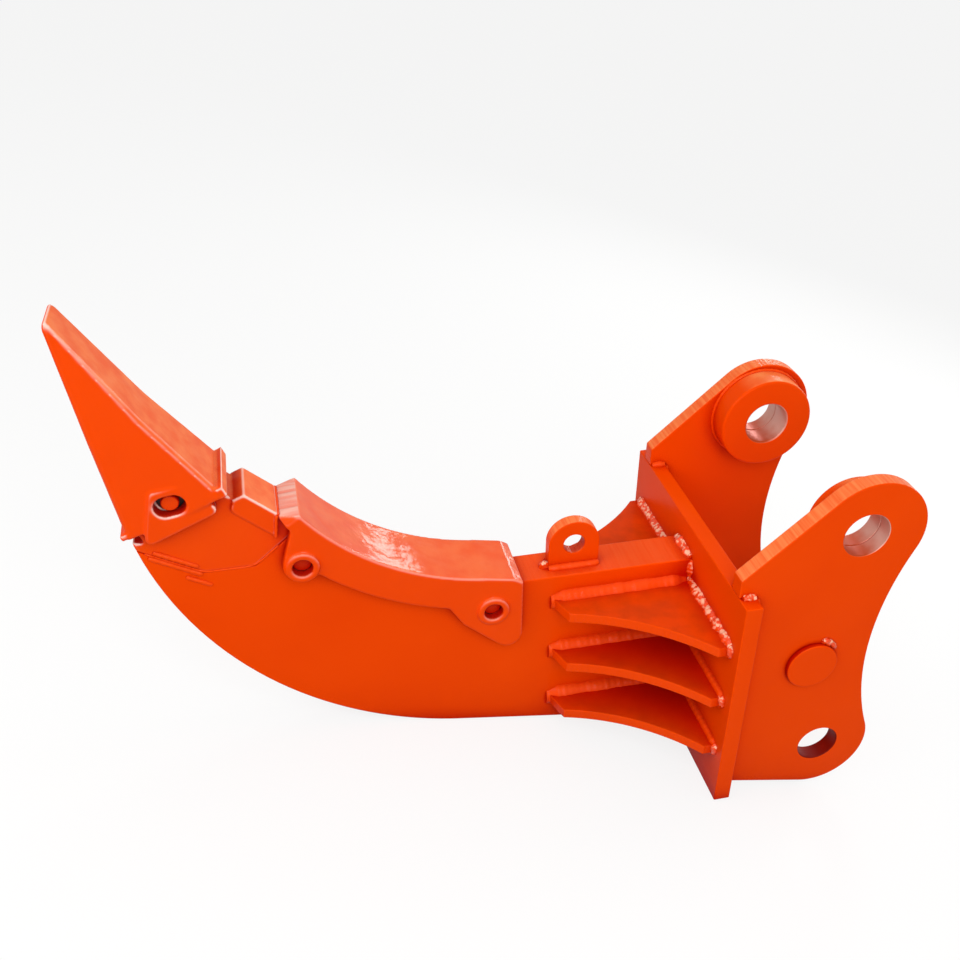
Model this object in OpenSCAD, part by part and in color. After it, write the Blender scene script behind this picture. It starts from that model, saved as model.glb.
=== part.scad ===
// Single-shank excavator ripper, lying on its back as it is stored.
// Side view: x runs from the base plate's front face, z from its bottom edge.
// The tooth points to -x, the pin bores run along y.

/* [Pin bores] */
// Bore for the stick pin
stick_bore_d = 80; // [70:1:90]
// Bore for the link pin
link_bore_d = 75; // [65:1:85]
// Distance between the two bores
pin_centres = 470; // [440:1:500]
// Bore centres behind the back face of the base plate
pin_setback = 177; // [165:1:200]
// Link bore centre above the bottom edge of the base plate
link_height = 70; // [60:1:90]

/* [Base plate] */
// Width of the base plate, along the pins
plate_w = 510; // [490:1:540]
// Height of the base plate
plate_h = 445; // [430:1:465]
// Thickness of the base plate
plate_t = 30; // [25:1:40]

/* [Ears] */
// Thickness of each ear plate
ear_t = 30; // [25:1:35]
// Clear width between the two ears
ear_gap = 390; // [370:1:400]
// Metal left around each pin bore
ear_rim = 59; // [50:1:65]
// Rise of the ears above the top edge of the base plate
ear_hook = 35; // [20:1:45]
// Ear's lower corner above the bottom edge of the base plate
ear_foot = 11; // [5:1:25]
// Middle of the upper round behind the stick bore
lobe_back = 7; // [0:1:12]
// Radius of the waist between the two bores
waist_r = 520; // [450:5:600]
// Outer diameter of the far ear's boss
far_boss_d = 178; // [160:1:186]
// Height of that boss, inwards from the ear
far_boss_h = 48; // [35:1:55]
// Outer diameter of the near ear's boss
near_boss_d = 154; // [140:1:170]
// Height of that boss, inwards from the ear
near_boss_h = 32; // [25:1:45]
// Chamfer on the rims of the bosses
boss_chamfer = 3; // [1:0.5:5]
// Diameter of the plain disc on the near ear
disc_d = 92; // [70:1:100]
// Thickness of that disc
disc_t = 10; // [6:1:14]
// Disc centre behind the back face of the base plate
disc_back = 125; // [100:1:135]
// Disc centre above the bottom edge of the base plate
disc_height = 277; // [250:1:300]

/* [Shank] */
// Thickness of the shank plate
shank_t = 75; // [65:1:85]
// Height of the shank's straight top edge
shank_h = 390; // [375:1:405]
// Length of that straight edge
straight_l = 330; // [310:1:350]
// Radius of the hollow front edge
front_r = 470; // [450:1:490]
// Turn of the hollow front edge, up to the nose
front_turn = 54; // [51:0.5:57]
// Radius of the round back edge
back_r = 628; // [615:1:640]
// Centre of the back edge ahead of the base plate
back_ahead = 326; // [315:1:335]
// Centre of the back edge above the base plate's bottom edge
back_up = 702; // [690:1:715]
// Lowest point of the shank on the base plate
heel = 12; // [8:1:30]

/* [Nose] */
// Lean of the tooth towards the back of the shank
tooth_lean = 23.5; // [20:0.5:27]
// Front edge's end to the seat of the tooth, along the tooth
nose_run = 90; // [80:1:100]
// Front edge's end to the middle of the tooth
nose_half = 126; // [120:1:132]
// Back of the nose at the tooth, from the middle of the tooth
nose_back = 75; // [70:1:82]
// Length of the nose that is cut back to that
nose_cut = 24; // [18:1:28]
// Height of the level part of the nose's weld line
nose_seam = 496; // [488:1:506]
// Length of that level part
seam_level = 80; // [60:1:100]
// Rise of the weld line from there to the back edge
seam_rise = 30; // [26:0.5:34]
// Turn along the front edge at which the weld line ends
seam_turn = 49.7; // [48:0.1:52]
// Nose block standing proud of each side of the shank
block_step = 5.5; // [3:0.5:8]
// Depth of the nose block down the side of the shank
block_h = 37; // [30:1:45]
// Length of the nose block along the front edge
block_l = 64; // [56:1:70]
// Nose block's start past the end of the front edge
block_gap = 9; // [6:1:14]
// Rise of the nose block above the end of the front edge
block_top = 5; // [2:0.5:8]
// Lean of the nose block's top
block_lean = 48.5; // [46:0.5:51]
// Length of the peg inside the tooth
peg_l = 205; // [180:1:220]
// Shoulder of the nose at each side of the peg
peg_shoulder = 3.5; // [2:0.5:6]
// Foot of the peg, from the middle to the back
peg_back = 54; // [50:1:58]
// Foot of the peg, from the middle to the front
peg_front = 46; // [42:1:50]
// Width of the peg's end
peg_end_w = 36; // [28:1:42]
// Height of the peg's end
peg_end_h = 28; // [22:1:34]
// Cut corners along the peg
peg_corner = 8; // [4:0.5:10]

/* [Tooth] */
// Length of the tooth
tooth_l = 350; // [330:1:380]
// Side walls of the tooth at its open end
tooth_wall = 17; // [14:0.5:19]
// Extra width of the tooth's front face at its open end
tooth_flare = 22; // [14:1:26]
// Open end, from the middle to the front
tooth_front = 79; // [75:1:82]
// Open end, from the middle to the back
tooth_back = 89; // [85:1:94]
// Width of the cutting edge
edge_w = 74; // [60:1:80]
// Thickness of the cutting edge
edge_t = 12; // [6:0.5:18]
// Back of the cutting edge ahead of the middle of the tooth
edge_back = 2; // [0:0.5:4]
// Length of the tip's rounding-off
edge_round = 7; // [3:0.5:10]
// Slack of the tooth's front face at its kink
kink_step = 6; // [3:0.5:9]
// Cut corners along the tooth
tooth_corner = 6; // [3:0.5:8]
// Cut corners at the cutting edge
edge_corner = 2.5; // [1:0.5:4]
// Height of the lip round the open end
lip_h = 6; // [4:0.5:10]
// Length of that lip
lip_l = 18; // [12:1:24]
// Pads round the pin slots standing proud of the sides
pad_step = 6; // [3:0.5:9]
// Length of each pin slot
slot_l = 49; // [44:1:54]
// Width of each pin slot
slot_w = 36; // [32:1:40]
// Metal left around each pin slot
pad_rim = 10; // [7:0.5:14]
// Reach of the pads back over the sides of the nose
pad_reach = 22; // [16:1:28]
// Slope of the pin slots across the tooth
slot_slope = 14; // [5:1:20]
// Diameter of the tooth pin
tooth_pin_d = 28; // [24:1:30]
// Tooth pin centre from the open end
tooth_pin_in = 25; // [22:1:32]
// Depth of the tooth pin's ends below the pads
tooth_pin_sunk = 10; // [4:1:14]

/* [Guard] */
// Thickness of the guard over the front edge
guard_t = 30; // [22:1:36]
// Thickness of the guard's cheeks
cheek_t = 22; // [16:1:28]
// Depth of the cheeks below the shank's front edge
cheek_h = 35; // [28:1:40]
// Guard pin diameter
guard_pin_d = 32; // [28:1:36]
// Width of the raised ring round each guard pin hole
ring_w = 12; // [10:1:15]
// Height of that ring
ring_h = 6; // [3:1:9]
// Guard pins below the shank's front edge
guard_pin_in = 37; // [34:1:42]
// Turn of the front guard pin along the front edge
front_pin_turn = 44.5; // [42:0.5:46]
// Rear guard pin ahead of the arc's start
rear_pin_ahead = 40; // [36:1:48]
// Guard running on past the arc's start
guard_tail = 13; // [8:1:20]
// Metal of the cheeks around the front ring
cheek_rim = 3; // [2:0.5:8]
// Radius of the cheeks' rear heel
heel_r = 26; // [20:1:32]
// Middle of that heel below the rear guard pin
heel_drop = 60; // [54:1:68]
// Width of the guard's front face at its foot
guard_nose_w = 86; // [80:1:96]
// Length of the guard's cut front corners
guard_nose_l = 19; // [12:1:26]

/* [Gussets and lug] */
// Thickness of each gusset
gusset_t = 20; // [15:1:25]
// Top of the highest gusset
gusset_top = 345; // [330:1:355]
// Step from one gusset to the next
gusset_step = 115; // [100:1:120]
// Length of the gussets along the shank
gusset_l = 258; // [235:1:275]
// Gusset ends short of the base plate's ends
gusset_short = 28; // [20:1:40]
// Width of the gussets' blunt end on the shank
gusset_nose = 50; // [40:1:60]
// Slant of that blunt end
gusset_slant = 18; // [0:1:25]
// Blunt end of the gussets on the base plate
gusset_toe = 22; // [15:1:40]
// Radius of the gussets' hollow edge
gusset_r = 410; // [330:5:600]
// Width of the lifting lug
lug_w = 92; // [80:1:105]
// Thickness of the lifting lug
lug_t = 24; // [18:1:30]
// Hole in the lifting lug
lug_hole_d = 38; // [30:1:44]
// Lug's hole above the shank
lug_rise = 47; // [40:1:60]
// Lug's middle ahead of the base plate
lug_ahead = 214; // [195:1:230]

/* [Fits] */
// Gap between the guard and the shank
guard_gap = 0.4; // [0.2:0.1:0.8]
// Gap between the tooth's socket and the peg
socket_gap = 0.4; // [0.2:0.1:0.8]
// Play of the pins in their holes
pin_play = 0.8; // [0.4:0.1:1.2]
// Depth of the guard pins' ends below the rings
pin_sunk = 16; // [8:1:17]
// Play of the retainers in their grooves
ring_play = 0.3; // [0.1:0.1:0.5]
// Thickness of the pin retainers
retainer_t = 8; // [5:0.5:10]
// Width of the retainers' rings
retainer_w = 8; // [5:0.5:10]

/* [Hidden] */
$fn = 96;

PAINT = "#E8480C";
PIN_STEEL = "#C9480F";
SPRING_STEEL = "#4A4A4C";

// Points of the side view are [x, z].
function swing(centre, r, turn) = centre + r * [-sin(turn), -cos(turn)];
function tangent_angle(centre, r, from, side) =
  let (d = from - centre)
  atan2(d.y, d.x) + side * acos(r / norm(d));
function tangent_point(centre, r, from, side) =
  let (a = tangent_angle(centre, r, from, side))
  centre + r * [cos(a), sin(a)];
// Straight edges and hollows run this far into the rounds that they meet.
tuck = 0.1;
// Point at r from p and at s from q, to the left of the way from p to q.
function meeting_point(p, r, q, s) =
  let (d = norm(q - p), along = (q - p) / d, a = (d * d + r * r - s * s) / (2 * d))
  p + a * along + sqrt(r * r - a * a) * [-along.y, along.x];
function chord_centre(p, q, r) =
  let (m = (p + q) / 2, h = norm(q - p) / 2, along = (q - p) / norm(q - p))
  m + sqrt(r * r - h * h) * [along.y, -along.x];

stick_bore = [plate_t + pin_setback, link_height + pin_centres];
link_bore = [plate_t + pin_setback, link_height];
stick_lobe = stick_bore + [lobe_back, 0];
stick_lobe_r = stick_bore_d / 2 + ear_rim;
link_lobe_r = link_bore_d / 2 + ear_rim;
ear_out = ear_gap / 2 + ear_t;

front_centre = [-straight_l, shank_h + front_r];
back_centre = [-back_ahead, back_up];
front_end = swing(front_centre, front_r, front_turn);
// The ripper rests on the base plate's bottom edge and the round of its back.
rest_tilt = -90 - tangent_angle(back_centre, back_r, [0, 0], -1);

along_tooth = [-sin(tooth_lean), cos(tooth_lean)];
across_tooth = [cos(tooth_lean), sin(tooth_lean)];
tooth_seat = front_end + nose_run * along_tooth - nose_half * across_tooth;
tooth_kink = 0.47 * tooth_l;
peg_w = shank_t - 2 * peg_shoulder;
tooth_w = peg_w + 2 * tooth_wall;
pad_out = tooth_w / 2 + pad_step;

guard_out = shank_t / 2 + guard_gap + cheek_t;
front_pin = swing(front_centre, front_r + guard_pin_in, front_pin_turn);
rear_pin = [-straight_l - rear_pin_ahead, shank_h - guard_pin_in];
ring_d = guard_pin_d + 2 * ring_w;
guard_pin_l = 2 * (guard_out + ring_h - pin_sunk);
tooth_pin_l = 2 * (pad_out - tooth_pin_sunk);

// Turns the side view to where it rests, with the stick bore at the origin.
module placed()
  rotate([0, -rest_tilt, 0])
    translate([-stick_bore.x, 0, -stick_bore.y])
      children();

// Plate cut to a side-view outline, from y0 to y1.
module cut_plate(y0, y1)
  translate([0, y1, 0])
    rotate([90, 0, 0])
      linear_extrude(y1 - y0)
        children();

// Round bar along y, centred on a point of the side view.
module cross_bar(at, d, y0, y1)
  translate([at.x, y0, at.y])
    rotate([-90, 0, 0])
      cylinder(d = d, h = y1 - y0);

module at_tooth()
  translate([tooth_seat.x, 0, tooth_seat.y])
    rotate([0, -tooth_lean, 0])
      children();

module base_plate()
  color(PAINT)
    placed()
      translate([0, -plate_w / 2, 0])
        cube([plate_t, plate_w, plate_h]);

module ear_outline() {
  r1 = stick_lobe_r + waist_r - tuck;
  r2 = link_lobe_r + waist_r - tuck;
  waist = meeting_point(stick_lobe, r1, link_bore, r2);
  top_corner = [0, plate_h + ear_hook];
  foot_corner = [plate_t, ear_foot];
  difference() {
    union() {
      translate(stick_lobe)
        circle(r = stick_lobe_r);
      translate(link_bore)
        circle(r = link_lobe_r);
      difference() {
        polygon([
          top_corner,
          [0, plate_h],
          [plate_t, plate_h],
          foot_corner,
          tangent_point(link_bore, link_lobe_r - tuck, foot_corner, 1),
          link_bore,
          link_bore + link_lobe_r / r2 * (waist - link_bore),
          stick_lobe + stick_lobe_r / r1 * (waist - stick_lobe),
          stick_lobe,
          tangent_point(stick_lobe, stick_lobe_r - tuck, top_corner, -1)
        ]);
        translate(waist)
          circle(r = waist_r, $fn = 192);
      }
    }
    translate(stick_bore)
      circle(d = stick_bore_d);
    translate(link_bore)
      circle(d = link_bore_d);
  }
}

module ear(y0)
  color(PAINT)
    placed()
      cut_plate(y0, y0 + ear_t)
        ear_outline();

module near_ear() ear(-ear_out);

module far_ear() ear(ear_gap / 2);

// Boss ring with its base at y = 0 and its bored face at y = h.
module stick_boss(d, h)
  rotate([-90, 0, 0])
    rotate_extrude()
      polygon([
        [stick_bore_d / 2, 0],
        [d / 2, 0],
        [d / 2, h - boss_chamfer],
        [d / 2 - boss_chamfer, h],
        [stick_bore_d / 2 + boss_chamfer, h],
        [stick_bore_d / 2, h - boss_chamfer]
      ]);

module near_stick_boss()
  color(PAINT)
    translate([0, -ear_gap / 2, 0])
      stick_boss(near_boss_d, near_boss_h);

module far_stick_boss()
  color(PAINT)
    mirror([0, 1, 0])
      translate([0, -ear_gap / 2, 0])
        stick_boss(far_boss_d, far_boss_h);

module ear_disc()
  color(PAINT)
    placed()
      cross_bar([plate_t + disc_back, disc_height], disc_d, -ear_out - disc_t, -ear_out);

// Weld line between the shank and the nose: down from the back edge, level, then square to the front edge.
seam_knee = front_centre + (front_centre.y - nose_seam) * [-tan(seam_turn), -1];
seam_bend = seam_knee - [seam_level, 0];
seam_out = seam_bend + 2 * shank_t * [-cos(seam_rise), sin(seam_rise)];

module shank_outline()
  difference() {
    union() {
      intersection() {
        translate(back_centre)
          circle(r = back_r, $fn = 240);
        polygon([
          [back_centre.x, 0],
          [back_centre.x, shank_h],
          front_centre,
          seam_knee,
          seam_bend,
          seam_out,
          [seam_out.x, 0]
        ]);
      }
      polygon([
        tangent_point(back_centre, back_r - tuck, [0, heel], -1),
        [0, heel],
        [0, shank_h],
        [-straight_l, shank_h],
        front_centre,
        [-straight_l - shank_t, shank_h]
      ]);
    }
    translate(front_centre)
      circle(r = front_r, $fn = 240);
  }

module shank()
  color(PAINT)
    placed()
      difference() {
        cut_plate(-shank_t / 2, shank_t / 2)
          shank_outline();
        for (at = [front_pin, rear_pin])
          cross_bar(at, guard_pin_d + pin_play, -shank_t, shank_t);
      }

// Section of the tooth or peg: v from back to front, w wide and wider in front, with cut corners.
module section(u, back, front, w, corner, flare = 0) {
  front_w = w + flare;
  translate([0, 0, u])
    linear_extrude(0.01)
      polygon([
        [back, w / 2 - corner], [back + corner, w / 2],
        [front - corner, front_w / 2], [front, front_w / 2 - corner],
        [front, corner - front_w / 2], [front - corner, -front_w / 2],
        [back + corner, -w / 2], [back, corner - w / 2]
      ]);
}

// Tapered peg of the nose, grown on all sides by extra.
module peg(extra)
  hull() {
    section(-pin_play, -peg_back - extra, peg_front + extra, peg_w + 2 * extra, peg_corner);
    section(
      peg_l + extra,
      -peg_end_h * 0.57 - extra,
      peg_end_h * 0.43 + extra,
      peg_end_w + 2 * extra,
      peg_corner
    );
  }

// Point of the nose block: d along its top from the front edge's end, m outwards.
function block_point(d, m) =
  front_end
  + d * [-sin(block_lean), cos(block_lean)]
  + m * [cos(block_lean), sin(block_lean)];
// Point of the tooth's side view: v towards the front, u towards the tip.
function tooth_point(v, u) = tooth_seat + v * across_tooth + u * along_tooth;

block_end = block_gap + block_l;

module block_outline() {
  round_r = block_h / 3;
  corner = block_point(block_end + block_gap / 2 - round_r, block_top - block_h + round_r);
  translate(corner)
    circle(r = round_r);
  polygon([
    block_point(block_gap, block_top),
    block_point(block_end, block_top),
    block_point(block_end + block_gap, block_top - block_h / 2),
    corner + round_r * [-sin(block_lean), cos(block_lean)],
    corner,
    corner - round_r * [cos(block_lean), sin(block_lean)],
    block_point(-1.5 * block_gap, block_top - block_h),
    block_point(block_gap, 0)
  ]);
}

module nose_outline()
  difference() {
    intersection() {
      translate(back_centre)
        circle(r = back_r, $fn = 240);
      polygon([
        seam_out,
        tooth_point(-nose_back, -nose_cut),
        tooth_point(-nose_back, -socket_gap),
        tooth_point(tooth_front - peg_corner, -socket_gap),
        block_point(block_end + block_gap, block_top - block_h / 2),
        block_point(block_end, block_top),
        block_point(block_gap, block_top),
        block_point(block_gap, 0),
        front_end,
        front_centre,
        seam_knee,
        seam_bend
      ]);
    }
    translate(front_centre)
      circle(r = front_r, $fn = 240);
  }

// Retainer ring of the tooth pin, sunk in the near side of the peg.
tooth_ring_r = tooth_pin_d / 2 + retainer_w;
tooth_ring_y = (peg_w - (peg_w - peg_end_w) * (tooth_pin_in + tooth_ring_r) / peg_l) / 2 - socket_gap;

module nose_adapter()
  color(PAINT)
    placed() {
      cut_plate(-shank_t / 2, shank_t / 2)
        nose_outline();
      cut_plate(-shank_t / 2 - block_step, shank_t / 2 + block_step)
        block_outline();
      at_tooth()
        difference() {
          peg(0);
          cross_bar([0, tooth_pin_in], tooth_pin_d + pin_play, -tooth_w, tooth_w);
          cross_bar(
            [0, tooth_pin_in],
            2 * tooth_ring_r + pin_play,
            -tooth_w,
            retainer_t - tooth_ring_y + pin_play / 2
          );
        }
    }

module slot_outline()
  translate([0, tooth_pin_in])
    rotate(-slot_slope) {
      square([slot_l - slot_w, slot_w], center = true);
      for (side = [-1, 1])
        translate([side * (slot_l - slot_w) / 2, 0])
          circle(d = slot_w);
    }

// Raised pad round a pin slot, running back over the side of the nose.
module pad_outline()
  hull($fn = 32) {
    translate([0, tooth_pin_in])
      rotate(-slot_slope)
        for (share = [-0.3, 0.55])
          translate([share * slot_l, slot_w / 2])
            circle(r = 1.2 * pad_rim);
    for (v = [3.5 * pad_rim - tooth_back, tooth_front - 3.3 * pad_rim])
      translate([v, pad_rim - pad_reach])
        circle(r = pad_rim);
  }

module ripper_tooth() {
  kink_share = tooth_kink / tooth_l;
  kink_w = tooth_w + (edge_w - tooth_w) * kink_share;
  kink_back = tooth_back * (1 - kink_share);
  kink_front = tooth_front + (edge_t - tooth_front) * kink_share - kink_step;
  kink_flare = tooth_flare * (1 - kink_share);
  edge_front = edge_back + edge_t;
  color(PAINT)
    placed()
      at_tooth()
        difference() {
          union() {
            hull() {
              section(0, -tooth_back, tooth_front, tooth_w, tooth_corner, tooth_flare);
              section(tooth_kink, -kink_back, kink_front, kink_w, tooth_corner, kink_flare);
            }
            hull() {
              section(tooth_kink, -kink_back, kink_front, kink_w, tooth_corner, kink_flare);
              section(tooth_l - edge_round, edge_back, edge_front, edge_w, edge_corner);
              section(tooth_l, edge_front - edge_t * 0.6, edge_front - edge_t * 0.2, edge_w - edge_round, 1);
            }
            translate([tooth_front - tooth_corner, -(tooth_w + tooth_flare) / 2, 0])
              cube([lip_h + tooth_corner, tooth_w + tooth_flare, lip_l]);
            translate([-tooth_back - lip_h, -tooth_w / 2, lip_l / 6])
              cube([lip_h + tooth_corner, tooth_w, lip_l / 2]);
            for (side = [-1, 1])
              cut_plate(
                min(side * (shank_t / 2 + socket_gap), side * pad_out),
                max(side * (shank_t / 2 + socket_gap), side * pad_out)
              )
                pad_outline();
          }
          peg(socket_gap);
          cut_plate(-pad_out - pad_step, pad_out + pad_step)
            slot_outline();
        }
}

// Pin along y with chamfered ends and a groove for its retainer.
module pin(d, l, groove_y) {
  chamfer = d / 16;
  groove = d / 16;
  rotate([-90, 0, 0])
    rotate_extrude()
      polygon([
        [0, -l / 2],
        [d / 2 - chamfer, -l / 2],
        [d / 2, chamfer - l / 2],
        [d / 2, groove_y],
        [d / 2 - groove, groove_y],
        [d / 2 - groove, groove_y + retainer_t],
        [d / 2, groove_y + retainer_t],
        [d / 2, l / 2 - chamfer],
        [d / 2 - chamfer, l / 2],
        [0, l / 2]
      ]);
}

// Split ring that snaps into a pin's groove, from y = 0 up.
module retainer(d) {
  inner = d / 2 - d / 16 + ring_play;
  rotate([-90, 0, 0])
    rotate_extrude(angle = 320)
      translate([inner, ring_play])
        square([d / 2 + retainer_w - inner, retainer_t - 2 * ring_play]);
}

module at_guard_pin(at)
  color(PIN_STEEL)
    placed()
      translate([at.x, 0, at.y])
        children();

module tooth_pin()
  color(PIN_STEEL)
    placed()
      at_tooth()
        translate([0, 0, tooth_pin_in])
          pin(tooth_pin_d, tooth_pin_l, -tooth_ring_y);

module tooth_pin_retainer()
  color(SPRING_STEEL)
    placed()
      at_tooth()
        translate([0, -tooth_ring_y, tooth_pin_in])
          retainer(tooth_pin_d);

// Retainer rings of the guard pins, sunk in the inside of the near cheek.
guard_ring_y = shank_t / 2 + guard_gap + retainer_t;

module front_guard_pin()
  at_guard_pin(front_pin)
    pin(guard_pin_d, guard_pin_l, -guard_ring_y);

module rear_guard_pin()
  at_guard_pin(rear_pin)
    pin(guard_pin_d, guard_pin_l, -guard_ring_y);

module guard_retainer(at)
  color(SPRING_STEEL)
    placed()
      translate([at.x, -guard_ring_y, at.y])
        retainer(guard_pin_d);

module front_guard_retainer() guard_retainer(front_pin);

module rear_guard_retainer() guard_retainer(rear_pin);

guard_end = -straight_l + guard_tail;
guard_top_r = front_r - guard_t;

// Wedge of the side view between two turns about the front edge's centre.
module guard_ring(r0, r1)
  intersection() {
    difference() {
      translate(front_centre)
        circle(r = r1, $fn = 240);
      translate(front_centre)
        circle(r = r0, $fn = 240);
    }
    children();
  }

module guard_top_outline()
  guard_ring(guard_top_r, front_r - guard_gap)
    polygon([
      front_centre + [guard_tail, 0],
      front_centre,
      swing(front_centre, guard_top_r, front_turn - 1),
      swing(front_centre, front_r - guard_t / 10, front_turn + 1),
      swing(front_centre, front_r, front_turn + 1),
      swing(front_centre, front_r + guard_t, front_turn - 10),
      [guard_end - guard_t, shank_h - guard_t],
      [guard_end, shank_h - guard_t],
      [guard_end, shank_h + guard_t * 0.5],
      [guard_end - guard_t * 0.5, shank_h + guard_t * 0.78],
      swing(front_centre, guard_top_r, 8) + [0, guard_gap]
    ]);

module cheek_outline() {
  foot = front_r + cheek_h;
  ear_r = ring_d / 2 + cheek_rim;
  brow = swing(front_centre, front_r - guard_t * 0.75, front_turn - 0.3);
  heel_at = [guard_end - heel_r, rear_pin.y - heel_drop];
  guard_ring(front_r - guard_t / 2, foot)
    polygon([
      front_centre + [guard_tail, 0],
      swing(front_centre, front_r - guard_t, front_turn - 1.6),
      swing(front_centre, foot + guard_gap, front_turn - 7),
      swing(front_centre, foot + 2 * cheek_h, front_turn / 2),
      [guard_end, shank_h - 2 * cheek_h]
    ]);
  translate(front_pin)
    circle(r = ear_r);
  polygon([
    brow,
    tangent_point(front_pin, ear_r - tuck, brow, 1),
    front_pin,
    front_pin + ear_r * [cos(-40), sin(-40)],
    swing(front_centre, foot - guard_gap, front_pin_turn - 6),
    swing(front_centre, front_r, front_pin_turn - 6)
  ]);
  translate(heel_at)
    circle(r = heel_r);
  polygon([
    [rear_pin.x - ring_d * 1.4, shank_h - cheek_h * 0.55],
    [rear_pin.x - ring_d * 0.93, rear_pin.y - cheek_h * 0.7],
    heel_at + heel_r * [cos(233), sin(233)],
    heel_at,
    heel_at + [heel_r, 0],
    [guard_end, shank_h - cheek_h]
  ]);
}

// Corners cut from both sides of the guard's front.
module guard_corners() {
  foot = guard_nose_w / 2;
  brow = swing(front_centre, front_r, front_turn - 1);
  translate([brow.x, 0, brow.y])
    rotate([0, front_turn, 0])
      translate([0, 0, -guard_t / 2])
        linear_extrude(2 * guard_t)
          for (side = [0, 1])
            mirror([0, side])
              polygon([
                [-guard_nose_l, foot],
                [guard_nose_l, foot + 2 * (guard_out - foot)],
                [-2 * guard_nose_l, foot + 2 * (guard_out - foot)],
                [-2 * guard_nose_l, foot - (guard_out - foot)]
              ]);
}

module shank_guard() {
  inside = shank_t / 2 + guard_gap;
  color(PAINT)
    placed()
      difference() {
        union() {
          cut_plate(-guard_out, guard_out)
            guard_top_outline();
          cut_plate(-guard_out, -inside)
            cheek_outline();
          cut_plate(inside, guard_out)
            cheek_outline();
          for (at = [front_pin, rear_pin]) {
            cross_bar(at, ring_d, -guard_out - ring_h, -inside);
            cross_bar(at, ring_d, inside, guard_out + ring_h);
          }
        }
        for (at = [front_pin, rear_pin]) {
          cross_bar(at, guard_pin_d + pin_play, -guard_out - 2 * ring_h, guard_out + 2 * ring_h);
          cross_bar(at, guard_pin_d + 2 * retainer_w + pin_play, -guard_ring_y, 0);
        }
        guard_corners();
      }
}

// Plan view of a gusset on the far side: x from the base plate, y from the mid-plane.
module gusset_outline() {
  end = plate_w / 2 - gusset_short;
  p = [gusset_slant - gusset_l, shank_t / 2 + gusset_nose];
  q = [-gusset_toe, end];
  difference() {
    polygon([[0, shank_t / 2], [-gusset_l, shank_t / 2], p, q, [0, end]]);
    translate(chord_centre(q, p, gusset_r))
      circle(r = gusset_r, $fn = 240);
  }
}

module gusset(row, side)
  color(PAINT)
    placed()
      translate([0, 0, gusset_top - row * gusset_step - gusset_t])
        mirror([0, side < 0 ? 1 : 0, 0])
          linear_extrude(gusset_t)
            gusset_outline();

module near_top_gusset() gusset(0, -1);

module near_middle_gusset() gusset(1, -1);

module near_bottom_gusset() gusset(2, -1);

module far_top_gusset() gusset(0, 1);

module far_middle_gusset() gusset(1, 1);

module far_bottom_gusset() gusset(2, 1);

module lifting_lug() {
  eye = [-lug_ahead, shank_h + lug_rise];
  color(PAINT)
    placed()
      cut_plate(-lug_t / 2, lug_t / 2)
        difference() {
          union() {
            translate(eye)
              circle(d = lug_w);
            translate([eye.x - lug_w / 2, shank_h])
              square([lug_w, lug_rise]);
          }
          translate(eye)
            circle(d = lug_hole_d);
          translate([eye.x - lug_w, shank_h - lug_w])
            square([2 * lug_w, lug_w]);
        }
}

base_plate();
near_ear();
far_ear();
near_stick_boss();
far_stick_boss();
ear_disc();
shank();
nose_adapter();
ripper_tooth();
tooth_pin();
tooth_pin_retainer();
shank_guard();
front_guard_pin();
front_guard_retainer();
rear_guard_pin();
rear_guard_retainer();
near_top_gusset();
near_middle_gusset();
near_bottom_gusset();
far_top_gusset();
far_middle_gusset();
far_bottom_gusset();
lifting_lug();
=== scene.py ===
import math
import bmesh
import bpy
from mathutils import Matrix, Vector


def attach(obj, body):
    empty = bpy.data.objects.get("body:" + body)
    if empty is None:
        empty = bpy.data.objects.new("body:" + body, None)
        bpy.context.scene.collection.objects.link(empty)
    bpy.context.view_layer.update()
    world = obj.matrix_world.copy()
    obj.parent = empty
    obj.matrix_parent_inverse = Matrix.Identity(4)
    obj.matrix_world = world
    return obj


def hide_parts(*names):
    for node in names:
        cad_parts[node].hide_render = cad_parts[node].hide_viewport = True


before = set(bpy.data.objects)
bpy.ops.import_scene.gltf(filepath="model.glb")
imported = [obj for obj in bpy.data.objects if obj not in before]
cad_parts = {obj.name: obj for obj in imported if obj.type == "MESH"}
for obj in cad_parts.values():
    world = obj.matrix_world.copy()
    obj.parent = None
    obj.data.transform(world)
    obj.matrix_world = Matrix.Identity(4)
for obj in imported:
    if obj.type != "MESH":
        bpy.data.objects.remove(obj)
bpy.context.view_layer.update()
scene = bpy.context.scene
print("frame loaded:", len(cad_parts), "nodes")

# the ripper's own side view (mm): x from the base plate's front face, z from its bottom edge
rest = {"tilt": 10.860748, "stickBore": (207.0, 540.0), "linkBore": (207.0, 70.0)}


def place(x, y, z):
    # a point of the ripper's side view, in metres, as the ripper lies on its back
    turn = math.radians(rest["tilt"])
    a, b = x - rest["stickBore"][0], z - rest["stickBore"][1]
    return Vector((a * math.cos(turn) - b * math.sin(turn), y,
                   a * math.sin(turn) + b * math.cos(turn))) / 1000


def toLinear(hexText):
    parts = [int(hexText[i:i + 2], 16) / 255 for i in (1, 3, 5)]
    return tuple(c / 12.92 if c <= 0.04045 else ((c + 0.055) / 1.055) ** 2.4 for c in parts) + (1.0,)


def addNode(tree, kind, links=None, **settings):
    node = tree.nodes.new(kind)
    for name, value in settings.items():
        setattr(node, name, value)
    for name, value in (links or {}).items():
        if isinstance(value, bpy.types.NodeSocket):
            tree.links.new(value, node.inputs[name])
        else:
            node.inputs[name].default_value = value
    return node


def newMaterial(name):
    material = bpy.data.materials.new(name)
    material.use_nodes = True
    material.node_tree.nodes.clear()
    return material, material.node_tree


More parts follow.
